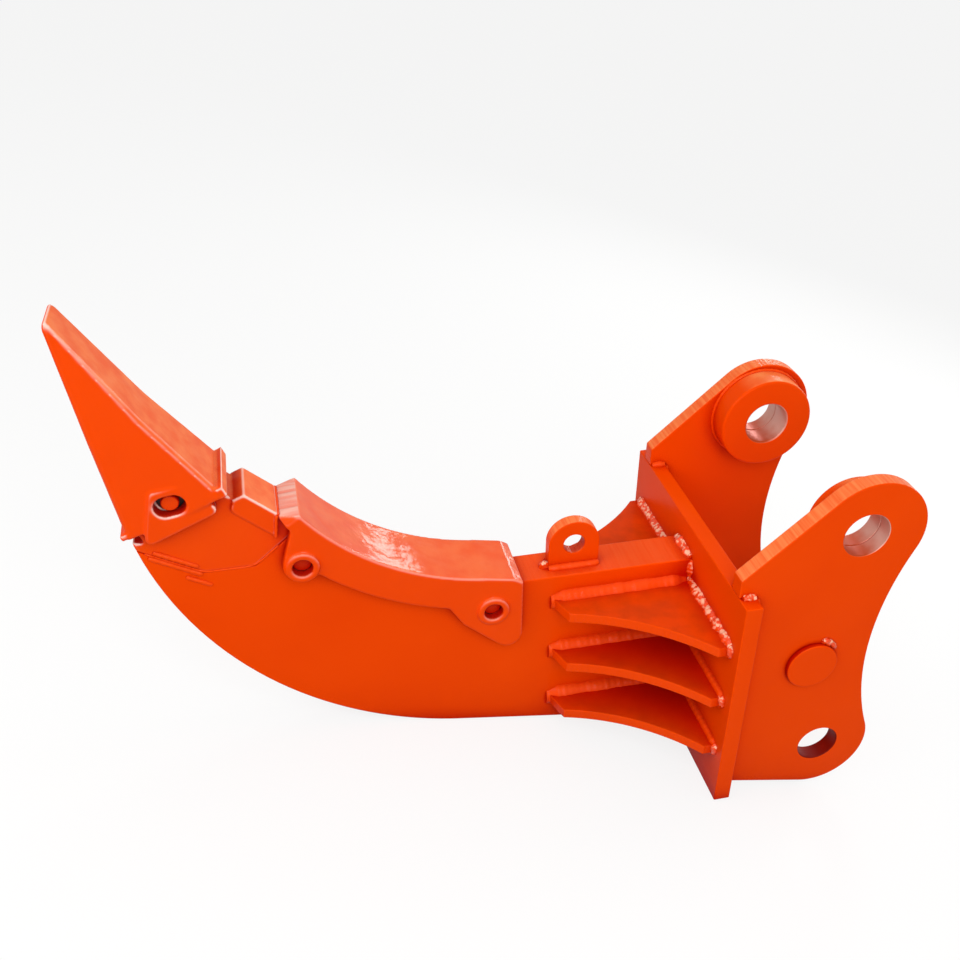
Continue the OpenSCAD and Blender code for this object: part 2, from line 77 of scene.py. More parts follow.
# Machine enamel, sprayed thick over steel plate and left to dry: a saturated orange with a wet
# gloss, a slight orange peel and a rolled plate's slow waves. Painted shade turns it deep red in
# corners and creases, and some materials add a painted sheen, others a painted shade, on faces turned a chosen
# way.
enamel = {
    "tones": ("#EA4000", "#F04600", "#F64C02"), "driftMm": 260, "driftStops": (0.15, 0.5, 0.85),
    "shadeTone": "#B40200", "cornerMm": 240, "cornerShare": 0.95, "cornerRange": (0.54, 0.24),
    "creaseMm": 44, "creaseShare": 0.95, "creaseRange": (0.88, 0.48),
    "sheenTone": "#FF8C4E", "paintedLightMm": 34, "paintedLightRange": (0.25, 0.75), "paintedLightSpread": (0.55, 1.45),
    "gleamTone": "#FFE3D8", "gleamRange": (0.506, 0.538), "facingRange": (0.25, 0.8),
    "waveMm": 90, "waveDepth": 0.0009,
    "peelMm": 7, "peelDepth": 0.00006,      # real peel is about 2 mm, drawn coarser so that it shows
    "rough": (0.30, 0.44), "roughMm": 60, "roughRange": (0.1, 0.9),
    "specular": 0.04, "coat": 0.16, "plateCoat": 0.05, "coatRough": 0.12, "index": 1.33,
    "discShade": {"share": 0.9, "way": (-0.95, 0.0, 0.3), "tone": "#A81200"},
    "gussetShade": {"share": 0.55, "way": (-0.19, 0.0, 0.98), "tone": "#C23A08"},    # painted shade on the gusset tops
}
# Flame-cut rims carry drag lines across the plate's thickness under the same paint, and a painted sheen pales
# the rims that face up.
cutRim = {"lineMm": 5, "lineDepth": 0.0014, "shankDepth": 0.0005, "alongMm": 120,
          "paintedLight": {"share": 0.10, "way": (0.1, 0.0, 0.99)},
          "earSheen": {"share": 0.60, "way": (-0.30, 0.0, 0.95)},
          "bossSheen": {"share": 0.70, "way": (0.42, 0.0, 0.91)}}
# Castings keep the sand's grain and soft pits under the paint; a painted sheen pales their tops, a painted
# highlight their upper edges, and the guard's brow gets a pale pink painted sheen.
castSkin = {"pitMm": 11, "pitDepth": 0.00025, "lumpMm": 38, "lumpDepth": 0.0014,
            "paintedLight": {"share": 0.52, "way": (0.45, 0.10, 0.89)},
            "gleam": {"share": 0.72, "way": (0.35, -0.45, 0.80)},
            "guardSheen": {"share": 0.30, "way": (-0.10, 0.20, 0.97)},
            "guardGleam": {"share": 0.24, "way": (0.1, -0.30, 0.95)}, "hollowCoat": 0.6,
            "browSheen": {"share": 0.85, "way": (-0.29, 0.0, 0.96), "tone": "#F5B8A6"},
            "browLines": (90, 9, 90), "browDepth": 0.003}
# Weld beads hold more paint and get less painted shade; smooth ones take a faint painted sheen, rough ones
# painted glints.
weldSkin = {"paintedLight": {"share": 0.06, "way": (0.0, -0.3, 0.95)}, "filletDeep": 0.7, "lumpDeep": 0.35,
            "pitMm": 5, "pitDepth": 0.0016, "rough": (0.12, 0.26), "specular": 0.6,
            "glitter": {"share": 0.85, "way": (-0.2, -0.3, 0.93), "sizeMm": 8, "range": (0.46, 0.60),
                        "tone": "#FFC19C"}}


def enamelPaint(name, grain=(), lines=None, paintedLight=None, gleam=None, deep=1.0,
                rough=None, specular=None, coat=None):
    # grain: (size in mm, depth in m) pairs; lines: (turn about y, size in mm per axis, depth in m)
    # paintedLight: painted sheen and shade, gleam: painted edge highlight; both at most share, on faces turned
    # this way; deep: how much the painted shade darkens the corners
    material, tree = newMaterial(name)
    where = addNode(tree, "ShaderNodeTexCoord").outputs["Object"]
    shape = addNode(tree, "ShaderNodeNewGeometry").outputs
    drift = addNode(tree, "ShaderNodeTexNoise",
                    {"Vector": where, "Scale": 1000 / enamel["driftMm"], "Detail": 3.0})
    ramp = addNode(tree, "ShaderNodeValToRGB", {"Fac": drift.outputs["Fac"]})
    ramp.color_ramp.interpolation = "EASE"
    ramp.color_ramp.elements.new(enamel["driftStops"][1])
    for stop, position, hexText in zip(ramp.color_ramp.elements, enamel["driftStops"], enamel["tones"]):
        stop.position = position
        stop.color = toLinear(hexText)

    def mapped(value, low, high, toLow, toHigh):
        return addNode(tree, "ShaderNodeMapRange", {
            "Value": value, "From Min": low, "From Max": high, "To Min": toLow, "To Max": toHigh},
            interpolation_type="SMOOTHSTEP").outputs["Result"]

    def facing(way, share):
        turned = addNode(tree, "ShaderNodeVectorMath", {0: shape["Normal"], 1: way}, operation="DOT_PRODUCT")
        return mapped(turned.outputs["Value"], *enamel["facingRange"], 0.0, share)

    def times(a, b):
        return addNode(tree, "ShaderNodeMath", {0: a, 1: b}, operation="MULTIPLY").outputs[0]

    def blended(share, under, over):
        return addNode(tree, "ShaderNodeMix", {
            0: share, 6: under, 7: toLinear(over)}, data_type="RGBA").outputs[2]

    streaks = None
    if lines:
        turn, sizes, lineDepth = lines
        turned = addNode(tree, "ShaderNodeMapping", {
            "Vector": where, "Rotation": (0, turn, 0), "Scale": tuple(1000 / size for size in sizes)})
        streaks = addNode(tree, "ShaderNodeTexNoise",
                          {"Vector": turned.outputs["Vector"], "Scale": 1.0, "Detail": 3.0}).outputs["Fac"]

    tone = ramp.outputs["Color"]
    # painted light: faces turned a given way are drawn in the sheen tone, or in the given tone where one is set
    if paintedLight:
        sizeMm = paintedLight.get("sizeMm", enamel["paintedLightMm"])
        marks = streaks or addNode(tree, "ShaderNodeTexNoise", {
            "Vector": where, "Scale": 1000 / sizeMm, "Detail": 4.0}).outputs["Fac"]
        least, most = enamel["paintedLightSpread"]
        if "range" in paintedLight:
            least = 0.0     # painted light in grains leaves bare paint between them
        spread = mapped(marks, *paintedLight.get("range", enamel["paintedLightRange"]), least, most)
        tone = blended(times(facing(paintedLight["way"], paintedLight["share"]), spread), tone,
                       paintedLight.get("tone", enamel["sheenTone"]))

    # painted shade: deep red mixed in where little light gets in, in wide pockets and in tight creases
    pocket = addNode(tree, "ShaderNodeAmbientOcclusion", {"Distance": enamel["cornerMm"] / 1000}, samples=6)
    crease = addNode(tree, "ShaderNodeAmbientOcclusion", {"Distance": enamel["creaseMm"] / 1000}, samples=6)
    dark = addNode(tree, "ShaderNodeMath", {
        0: mapped(pocket.outputs["AO"], *enamel["cornerRange"], 0.0, deep * enamel["cornerShare"]),
        1: mapped(crease.outputs["AO"], *enamel["creaseRange"], 0.0, deep * enamel["creaseShare"])},
        operation="MAXIMUM").outputs[0]
    tone = blended(dark, tone, enamel["shadeTone"])
    # painted highlight on edges turned a given way
    if gleam:
        edge = mapped(shape["Pointiness"], *enamel["gleamRange"], 0.0, 1.0)
        tone = blended(times(edge, facing(gleam["way"], gleam["share"])), tone, enamel["gleamTone"])

    gloss = addNode(tree, "ShaderNodeTexNoise",
                    {"Vector": where, "Scale": 1000 / enamel["roughMm"], "Detail": 4.0})
    normal = None
    waves = [(enamel["waveMm"], enamel["waveDepth"]), (enamel["peelMm"], enamel["peelDepth"])]
    for sizeMm, depth in [*waves, *grain]:
        bumps = addNode(tree, "ShaderNodeTexNoise",
                        {"Vector": where, "Scale": 1000 / sizeMm, "Detail": 2.0})
        bump = addNode(tree, "ShaderNodeBump", {"Height": bumps.outputs["Fac"], "Distance": depth})
        if normal:
            tree.links.new(normal, bump.inputs["Normal"])
        normal = bump.outputs["Normal"]
    if lines:
        bump = addNode(tree, "ShaderNodeBump", {"Height": streaks, "Distance": lineDepth, "Normal": normal})
        normal = bump.outputs["Normal"]
    skin = addNode(tree, "ShaderNodeBsdfPrincipled", {
        "Base Color": tone, "Normal": normal,
        "Roughness": mapped(gloss.outputs["Fac"], *enamel["roughRange"], *(rough or enamel["rough"])),
        "Specular IOR Level": specular or enamel["specular"], "Coat Weight": coat or enamel["coat"],
        "Coat Roughness": enamel["coatRough"], "Coat Normal": normal,
        "IOR": enamel["index"], "Coat IOR": enamel["index"]})
    addNode(tree, "ShaderNodeOutputMaterial", {"Surface": skin.outputs["BSDF"]})
    return material


acrossPlate = (0, (cutRim["lineMm"], cutRim["alongMm"], cutRim["lineMm"]), cutRim["lineDepth"])
acrossShank = (*acrossPlate[:2], cutRim["shankDepth"])
acrossGusset = (math.radians(rest["tilt"]), (cutRim["lineMm"], cutRim["lineMm"], cutRim["alongMm"]),
                cutRim["lineDepth"])
sandGrain = [(castSkin["pitMm"], castSkin["pitDepth"]), (castSkin["lumpMm"], castSkin["lumpDepth"])]
plateEnamel = enamelPaint("orange enamel on rolled plate", coat=enamel["plateCoat"])
gussetEnamel = enamelPaint("orange enamel on gusset plate", paintedLight=enamel["gussetShade"], coat=enamel["plateCoat"])
rimEnamel = enamelPaint("orange enamel on flame-cut rim", paintedLight=cutRim["paintedLight"], lines=acrossShank)
earRimEnamel = enamelPaint("orange enamel on flame-cut ear rim", paintedLight=cutRim["earSheen"], lines=acrossPlate)
bossRimEnamel = enamelPaint("orange enamel on turned boss", paintedLight=cutRim["bossSheen"],
                            coat=enamel["plateCoat"])
discRimEnamel = enamelPaint("orange enamel on disc rim", paintedLight=enamel["discShade"], coat=enamel["plateCoat"])
gussetRimEnamel = enamelPaint("orange enamel on flame-cut gusset rim", lines=acrossGusset)
castEnamel = enamelPaint("orange enamel on sand casting", grain=sandGrain,
                         paintedLight=castSkin["paintedLight"], gleam=castSkin["gleam"])
guardEnamel = enamelPaint("orange enamel on guard casting", grain=sandGrain,
                          paintedLight=castSkin["guardSheen"], gleam=castSkin["guardGleam"])
hollowEnamel = enamelPaint("orange enamel in guard hollow", grain=sandGrain, paintedLight=castSkin["guardSheen"],
                           gleam=castSkin["guardGleam"], coat=castSkin["hollowCoat"])
browEnamel = enamelPaint("orange enamel on guard brow", paintedLight=castSkin["browSheen"],
                         lines=(0, castSkin["browLines"], castSkin["browDepth"]))
pinEnamel = enamelPaint("orange enamel on pin ends", grain=sandGrain)
filletEnamel = enamelPaint("orange enamel on smooth weld", paintedLight=weldSkin["paintedLight"],
                           deep=weldSkin["filletDeep"])
lumpEnamel = enamelPaint("orange enamel on rough weld", paintedLight=weldSkin["glitter"], deep=weldSkin["lumpDeep"],
                         rough=weldSkin["rough"], specular=weldSkin["specular"],
                         grain=[(weldSkin["pitMm"], weldSkin["pitDepth"])])

# Bored steel with overspray: brown where the bore faces up, and pale and pinkish as painted light
# where it faces down.
boredSteel = {"litTone": "#D9A695", "mistTone": "#C2460F", "litWay": (-0.75, 0.0, -0.65),
              "litRange": (-0.2, 0.9), "blotchMm": 16, "blotchShare": 0.5,
              "ringMm": (125, 1.6, 125), "ringDepth": 0.00012, "metallic": 0.3, "roughness": 0.4}


def boredSteelMaterial():
    material, tree = newMaterial("bored steel with overspray")
    where = addNode(tree, "ShaderNodeTexCoord").outputs["Object"]
    facing = addNode(tree, "ShaderNodeNewGeometry").outputs["Normal"]
    # painted light: the wall facing this way is drawn pale
    way = addNode(tree, "ShaderNodeVectorMath",
                  {0: facing, 1: boredSteel["litWay"]}, operation="DOT_PRODUCT")
    cloud = addNode(tree, "ShaderNodeTexNoise",
                    {"Vector": where, "Scale": 1000 / boredSteel["blotchMm"], "Detail": 4.0})
    uneven = addNode(tree, "ShaderNodeMath", {
        0: cloud.outputs["Fac"], 1: boredSteel["blotchShare"], 2: way.outputs["Value"]},
        operation="MULTIPLY_ADD")
    low, high = boredSteel["litRange"]
    litShare = addNode(tree, "ShaderNodeMapRange", {
        "Value": uneven.outputs[0], "From Min": low, "From Max": high}, interpolation_type="SMOOTHSTEP")
    tone = addNode(tree, "ShaderNodeMix", {
        0: litShare.outputs["Result"], 6: toLinear(boredSteel["mistTone"]), 7: toLinear(boredSteel["litTone"])},
        data_type="RGBA").outputs[2]
    mapped = addNode(tree, "ShaderNodeMapping", {
        "Vector": where, "Scale": tuple(1000 / size for size in boredSteel["ringMm"])})
    rings = addNode(tree, "ShaderNodeTexNoise",
                    {"Vector": mapped.outputs["Vector"], "Scale": 1.0, "Detail": 2.0})
    bump = addNode(tree, "ShaderNodeBump",
                   {"Height": rings.outputs["Fac"], "Distance": boredSteel["ringDepth"]})
    skin = addNode(tree, "ShaderNodeBsdfPrincipled", {
        "Base Color": tone, "Normal": bump.outputs["Normal"],
        "Metallic": boredSteel["metallic"], "Roughness": boredSteel["roughness"]})
    addNode(tree, "ShaderNodeOutputMaterial", {"Surface": skin.outputs["BSDF"]})
    return material


boreMetal = boredSteelMaterial()

# Painted shade in the link bore: its paint drawn dark red and dull.
shadedBoreFacts = {"tones": ("#6A0A02", "#8A1406"), "blotchMm": 20,
            "metallic": 0.0, "roughness": 0.5, "specular": 0.1}

# Spring steel, oil-blackened: dark and satin.
springSteel = {"tones": ("#2C2B2C", "#4B494A"), "blotchMm": 14,
               "metallic": 0.9, "roughness": 0.42, "specular": 0.5}


def blotchedMaterial(name, facts):
    material, tree = newMaterial(name)
    where = addNode(tree, "ShaderNodeTexCoord").outputs["Object"]
    cloud = addNode(tree, "ShaderNodeTexNoise",
                    {"Vector": where, "Scale": 1000 / facts["blotchMm"], "Detail": 4.0})
    ramp = addNode(tree, "ShaderNodeValToRGB", {"Fac": cloud.outputs["Fac"]})
    ramp.color_ramp.elements[0].color = toLinear(facts["tones"][0])
    ramp.color_ramp.elements[1].color = toLinear(facts["tones"][1])
    skin = addNode(tree, "ShaderNodeBsdfPrincipled", {
        "Base Color": ramp.outputs["Color"], "Metallic": facts["metallic"],
        "Roughness": facts["roughness"], "Specular IOR Level": facts["specular"]})
    addNode(tree, "ShaderNodeOutputMaterial", {"Surface": skin.outputs["BSDF"]})
    return material


shadedBorePaint = blotchedMaterial("painted shade in link bore", shadedBoreFacts)
springMetal = blotchedMaterial("blackened spring steel", springSteel)
print("materials ready:", len(bpy.data.materials))


# How a node's triangles are joined up, and how far the paint softens its edges.
meshing = {"joinM": 0.00002, "flatDegrees": 0.4, "bevelSteps": 3, "bevelDegrees": 35, "faceWeight": 100}


def mergedCopy(nodeName, pieceName):
    # a CAD node's triangles joined up, with flat faces made whole again
    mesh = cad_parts[nodeName].data.copy()
    work = bmesh.new()
    work.from_mesh(mesh)
    work.transform(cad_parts[nodeName].matrix_world)
    bmesh.ops.remove_doubles(work, verts=work.verts, dist=meshing["joinM"])
    bmesh.ops.dissolve_limit(work, angle_limit=math.radians(meshing["flatDegrees"]),
                             verts=work.verts, edges=work.edges)
    work.to_mesh(mesh)
    work.free()
    mesh.materials.clear()
    mesh.name = pieceName
    piece = bpy.data.objects.new(pieceName, mesh)
    scene.collection.objects.link(piece)
    return piece


def settle(piece):
    # turns the modifiers' result into the piece's own mesh
    graph = bpy.context.evaluated_depsgraph_get()
    mesh = bpy.data.meshes.new_from_object(
        piece.evaluated_get(graph), preserve_all_data_layers=True, depsgraph=graph)
    old = piece.data
    piece.modifiers.clear()
    piece.data = mesh
    bpy.data.meshes.remove(old)
    mesh.name = piece.name
    return mesh


def bevelled(nodeName, pieceName, widthMm):
    piece = mergedCopy(nodeName, pieceName)
    for face in piece.data.polygons:
        face.use_smooth = True
    bevel = piece.modifiers.new("paint-softened edges", "BEVEL")
    bevel.width = widthMm / 1000
    bevel.segments = meshing["bevelSteps"]
    bevel.limit_method = "ANGLE"
    bevel.angle_limit = math.radians(meshing["bevelDegrees"])
    bevel.harden_normals = True
    bevel.use_clamp_overlap = False
    even = piece.modifiers.new("even faces", "WEIGHTED_NORMAL")    # flat faces shade flat up to the bevel
    even.mode = "FACE_AREA"
    even.weight = meshing["faceWeight"]
    even.keep_sharp = False
    settle(piece)
    return piece


def cast(nodeName, pieceName, gridMm, softens):
    # a casting: remeshed fine and smoothed, so that its edges go round
    piece = mergedCopy(nodeName, pieceName)
    grid = piece.modifiers.new("fine grid", "REMESH")
    grid.mode = "VOXEL"
    grid.voxel_size = gridMm / 1000
    soft = piece.modifiers.new("round edges", "SMOOTH")
    soft.factor = 0.5
    soft.iterations = softens
    mesh = settle(piece)
    for face in mesh.polygons:
        face.use_smooth = True
    return piece


def finishPiece(piece, slotName, *nodes):
    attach(piece, "root")
    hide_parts(*nodes)


def inBore(mesh, face, bore):
    # true on the wall of a bore of the ears: every corner within its rim
    (x, z), sizeMm = plates[bore]
    centre = place(x, 0, z)
    corners = [mesh.vertices[i].co for i in face.vertices]
    reach = max(math.hypot(corner.x - centre.x, corner.z - centre.z) for corner in corners)
    return reach < (sizeMm / 2 + plates["boreRimMm"]) / 1000 and abs(face.normal.y) < plates["flatLimit"]


# Plates: flat faces in plain enamel, rims in the flame-cut one, stick bores bare with painted light, link bores
# in painted shade.
plates = {
    "bevelMm": {"base_plate": 2.2, "shank": 3.0, "ears": 2.4, "gussets": 1.8, "lug": 2.6,
                "boss": 2.0, "disc": 3.0},
    "stickBore": (rest["stickBore"], 80), "linkBore": (rest["linkBore"], 75), "boreRimMm": 3,
    "flatLimit": 0.95, "rimLimit": 0.5,     # how far a normal may lean
}


def dressPlate(nodeName, pieceName, widthMm, rim, rimTest, flat=plateEnamel):
    piece = bevelled(nodeName, pieceName, widthMm)
    mesh = piece.data
    for material in (flat, rim, boreMetal, shadedBorePaint):
        mesh.materials.append(material)
    for face in mesh.polygons:
        face.material_index = 0
        if inBore(mesh, face, "stickBore"):
            face.material_index = 2
        elif inBore(mesh, face, "linkBore"):
            face.material_index = 3
        elif rimTest(face.normal):
            face.material_index = 1
    finishPiece(piece, "orange_paint", nodeName)


upPlate = (place(0, 0, 1) - place(0, 0, 0)).normalized()
acrossY = lambda normal: abs(normal.y) < plates["rimLimit"]
acrossUp = lambda normal: abs(normal.dot(upPlate)) < plates["rimLimit"]
never = lambda normal: False

dressPlate("base_plate", "basePlate", plates["bevelMm"]["base_plate"], rimEnamel, never)
dressPlate("shank", "shankPlate", plates["bevelMm"]["shank"], rimEnamel, acrossY)
for side in ("near", "far"):
    dressPlate(side + "_ear", side + "Ear", plates["bevelMm"]["ears"], earRimEnamel, acrossY)
    dressPlate(side + "_stick_boss", side + "StickBoss", plates["bevelMm"]["boss"], bossRimEnamel, acrossY)
    for row in ("top", "middle", "bottom"):
        dressPlate("%s_%s_gusset" % (side, row), "%s%sGusset" % (side, row.title()),
                   plates["bevelMm"]["gussets"], gussetRimEnamel, acrossUp, gussetEnamel)
dressPlate("lifting_lug", "liftingLug", plates["bevelMm"]["lug"], earRimEnamel, acrossY)
dressPlate("ear_disc", "earDisc", plates["bevelMm"]["disc"], discRimEnamel, acrossY)
print("plates dressed")

# Castings: tooth, nose and guard.
castings = {
    "tooth": {"node": "ripper_tooth", "gridMm": 2.0, "softens": 9, "paint": castEnamel},
    "nose": {"node": "nose_adapter", "gridMm": 2.0, "softens": 5, "paint": castEnamel},
    "guard": {"node": "shank_guard", "gridMm": 2.0, "softens": 8, "paint": guardEnamel,
              "browEnd": (-681, 595), "browLimit": 0.9, "hollowLimit": 0.65},
}
for name, facts in castings.items():
    piece = cast(facts["node"], name + "Casting", facts["gridMm"], facts["softens"])
    piece.data.materials.append(facts["paint"])
    if name == "guard":
        # the brow is the guard's small front ledge behind the nose block, the hollow its worn top
        piece.data.materials.append(browEnamel)
        piece.data.materials.append(hollowEnamel)
        endX, endZ = facts["browEnd"]
        browEnd, browWay = place(endX, 0, endZ).x, Vector(castSkin["browSheen"]["way"])
        for face in piece.data.polygons:
            onBrow = face.center.x < browEnd and face.normal.dot(browWay) > facts["browLimit"]
            onHollow = face.normal.z > facts["hollowLimit"]
            face.material_index = 1 if onBrow else 2 if onHollow else 0
    finishPiece(piece, "orange_paint", facts["node"])
print("castings dressed")

# Pins are painted over where they show, retainers are bare.
pins = [
    {"nodes": ("tooth_pin", "front_guard_pin", "rear_guard_pin"),
     "bevelMm": 1.0, "paint": pinEnamel, "slot": "pin_steel"},
    {"nodes": ("tooth_pin_retainer", "front_guard_retainer", "rear_guard_retainer"),
     "bevelMm": 0.6, "paint": springMetal, "slot": "spring_steel"},
]
for facts in pins:
    for nodeName in facts["nodes"]:
        piece = bevelled(nodeName, nodeName.title().replace("_", "") + "Piece", facts["bevelMm"])
        piece.data.materials.append(facts["paint"])
        finishPiece(piece, facts["slot"], nodeName)
print("pins dressed")

# Weld beads: paths in the side view's mm, each with its bead radius; smooth fillets, and rough
# beads where the welder stopped and started.
welds = {
    "rows": (345, 230, 115), "gussetT": 20, "gussetL": 258, "gussetEnd": 227, "shankHalf": 37.5,
    "shankTop": 390, "plateT": 30, "plateTop": 445, "earFaces": (195, 225), "bosses": {-1: 77, 1: 89},
    "lug": (-260, -168, 12), "seamKnee": (-759, 496), "seamBend": (-839, 496), "seamEnd": (-924, 545),
    "blockEnd": ((-714.5, 591.5), (-717, 589.7), (-721.3, 550.8)), "blockHalf": 42.5,
    "gussetR": 25, "gussetSunk": 9, "gussetLead": (-8, 3), "topR": 16, "roughSunk": 4,
    "toeR": 9, "toeTackR": 8.1, "toeTack": 10,
    "rootR": 13, "foot": 16, "stop": 2, "rootLead": 6, "crownR": 17, "crownHalf": 34,
    "earR": 7, "ledgeR": 9, "ledgeLead": (3, 6),
    "bossR": 4, "bossSteps": 72, "disc": (155, 277, 51), "discWeld": (36, 74), "discR": 6, "discSteps": 6,
    "lugR": 9, "lugTackR": 12.6, "lugTack": (-264, -10, 2),
    "seamR": 1.8, "seamLead": (40, 34), "seamSunk": 1, "ridgeR": 4.4, "blockR": 3.0,
    "ridges": ((-8, 0.1, 0.85), (6, 0.05, 0.95), (22, -0.1, 0.35)),     # drop, and where along the seam
}
beads = {
    "fillets": {"piece": "filletWelds", "Step": 0.003, "Ripple Pitch": 0.012, "Ripple Height": 0.0003,
                "Lump Size": 0.040, "Lump Height": 0.0014, "Swell": 0.05, "Drops": False, "Seed": 3},
    "rough": {"piece": "roughWelds", "Step": 0.002, "Ripple Pitch": 0.009, "Ripple Height": 0.0004,
              "Lump Size": 0.009, "Lump Height": 0.0080, "Swell": 0.18, "Drops": True, "Seed": 11},
    "dropSpacing": 0.007, "dropShare": (0.15, 0.42), "dropAside": 0.6, "dropSteps": 2,
    "cornerRadius": 0.045, "cornerSteps": 8, "endShare": 0.7, "swellScale": 45.0, "ringPoints": 14,
}


def weldPaths():
    w = welds
    smooth, rough = [], []
    sunk, stop = w["roughSunk"], w["stop"]
    earIn, earOut = w["earFaces"]
    for side in (-1, 1):
        s, end = side * w["shankHalf"], side * w["gussetEnd"]
        lead, overrun = w["gussetLead"]
        front = -w["gussetL"] - overrun
        for top in w["rows"]:
            low = top - w["gussetT"]
            root = s - side * w["gussetSunk"]
            for edge in (top - w["gussetSunk"], low + w["gussetSunk"]):
                smooth.append((w["gussetR"], [(lead, root, edge), (front, root, edge)]))
            if top == w["rows"][0]:
                rough.append((w["topR"], [(sunk, s, top - sunk), (sunk, end, top - sunk)]))
            else:
                smooth.append((w["toeR"], [(0, s, top), (0, end, top)]))
            smooth.append((w["toeR"], [(0, end, low), (0, s, low)]))
            rough.append((w["toeTackR"], [(0, end - side * w["toeTack"], top), (0, end, top), (0, end, low)]))
        smooth.append((w["rootR"], [(0, s, w["foot"]), (0, s, w["rows"][0])]))
        skin = s - side * sunk
        rough.append((w["rootR"], [(sunk, skin, w["rows"][0] + w["rootLead"]),
                                   (sunk, skin, w["shankTop"] - stop)]))
        for face in w["earFaces"]:
            smooth.append((w["earR"], [(w["plateT"], side * face, w["foot"]),
                                       (w["plateT"], side * face, w["plateTop"] - stop)]))
        for runs, face, lead in ((rough, earOut, w["ledgeLead"][1]), (smooth, earIn, w["ledgeLead"][0])):
            runs.append((w["ledgeR"], [(lead, side * face, w["plateTop"]),
                                       (w["plateT"] - stop, side * face, w["plateTop"])]))
        (x, z), r = rest["stickBore"], w["bosses"][side]
        turns = [i * math.tau / w["bossSteps"] for i in range(w["bossSteps"] + 1)]
        smooth.append((w["bossR"], [(x + r * math.cos(a), side * earIn, z + r * math.sin(a)) for a in turns]))
        lugBack, lugFront, lugHalf = w["lug"]
        smooth.append((w["lugR"], [(lugBack, side * lugHalf, w["shankTop"]),
                                   (lugFront, side * lugHalf, w["shankTop"])]))
        skin = side * (w["shankHalf"] - w["seamSunk"])
        (kx, kz), (bx, bz), (ex, ez) = w["seamKnee"], w["seamBend"], w["seamEnd"]
        leadX, leadZ = w["seamLead"]
        smooth.append((w["seamR"], [(kx + leadX, skin, kz + leadZ), (kx, skin, kz),
                                    (bx, skin, bz), (ex, skin, ez)]))
        # the last run of the seam is built up in three ridges
        for drop, first, last in w["ridges"]:
            smooth.append((w["ridgeR"], [(bx + first * (ex - bx), skin, bz - drop + first * (ez - bz)),
                                         (bx + last * (ex - bx), skin, bz - drop + last * (ez - bz))]))
        # paint bridges the joint between the nose block and the guard
        smooth.append((w["blockR"], [(x, side * w["blockHalf"], z) for x, z in w["blockEnd"]]))
    (x, z), half = w["blockEnd"][0], w["blockHalf"]
    smooth.append((w["blockR"], [(x, -half, z), (x, half, z)]))
    half, z = w["crownHalf"], w["shankTop"] - sunk
    rough.append((w["crownR"], [(sunk, -half, z), (sunk, half, z)]))
    x, first, last = w["lugTack"]
    rough.append((w["lugTackR"], [(x, first, w["shankTop"]), (x, last, w["shankTop"])]))
    # the disc is tacked on at its upper rim
    (x, z, r), (first, last) = w["disc"], w["discWeld"]
    steps = w["discSteps"]
    turns = [math.radians(first + (last - first) * i / steps) for i in range(steps + 1)]
    rough.append((w["discR"], [(x + r * math.cos(a), -earOut, z + r * math.sin(a)) for a in turns]))
    return {"fillets": smooth, "rough": rough}


